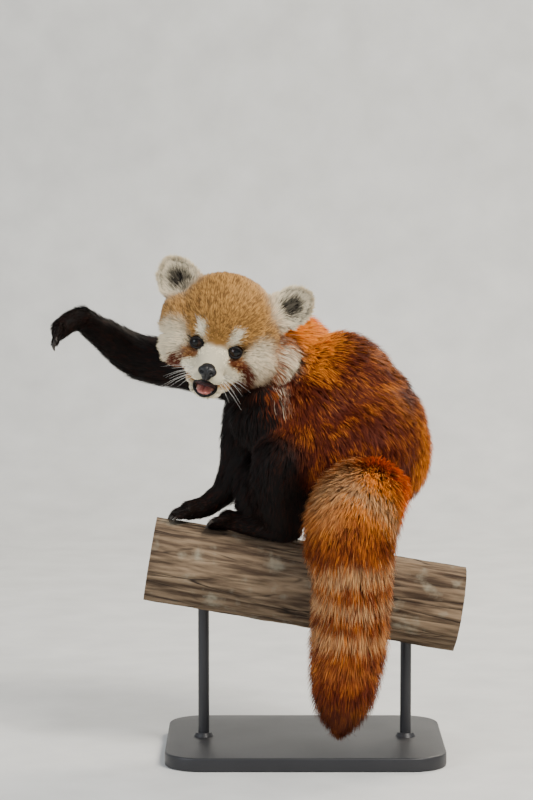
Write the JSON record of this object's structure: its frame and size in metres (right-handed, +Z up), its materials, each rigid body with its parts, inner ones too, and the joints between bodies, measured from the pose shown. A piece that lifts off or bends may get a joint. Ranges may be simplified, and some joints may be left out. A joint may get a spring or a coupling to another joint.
{
  "type": "animal model",
  "caption": "Life-size still model of a red panda crouched on a cut branch, looking back and reaching out, with its bushy tail hanging, on a rodded display base.",
  "frame": {"origin": "centre of the underside of the stand's base plate", "axes": "+Z up; the viewer of the pose stands at -Y and sees the face and the rump; +X to the viewer's right, where the branch slopes down"},
  "size_m": [0.4493, 0.2767, 0.5511],
  "materials": {
    "stand_paint": "satin dark grey paint",
    "bark": "dry weathered bark with pale sawn ends",
    "rust_fur": "long rust-red fur with gold tips and buff bands on the tail",
    "cream_fur": "short to medium cream-white fur",
    "tan_fur": "short golden tan fur with dark speckle, white cheeks and rusty tear stripes",
    "black_fur": "short to medium black fur",
    "eye_glass": "clear polished dark brown eye",
    "nose_leather": "moist black leathery nose",
    "mouth_flesh": "wet pink tongue"
  },
  "bodies": {
    "root": {"stand_base": "stand_paint", "stand_rod_left": "stand_paint", "stand_rod_right": "stand_paint", "perch_branch": "bark", "torso": "rust_fur", "neck": "cream_fur", "eye_left": "eye_glass", "eye_right": "eye_glass", "nose": "nose_leather", "tongue": "mouth_flesh", "ear_left": "cream_fur", "ear_right": "cream_fur", "jaw": "cream_fur", "head": "tan_fur", "thigh_left": "rust_fur", "thigh_right": "rust_fur", "forearm_left": "black_fur", "forearm_right": "black_fur", "shank_left": "black_fur", "shank_right": "black_fur", "upper_arm_left": "black_fur", "upper_arm_right": "black_fur", "forefoot_left": "black_fur", "forefoot_right": "black_fur", "hindfoot_left": "black_fur", "hindfoot_right": "black_fur", "tail_end": "rust_fur", "tail_middle": "rust_fur", "tail_root": "rust_fur"}
  },
  "joints": []
}
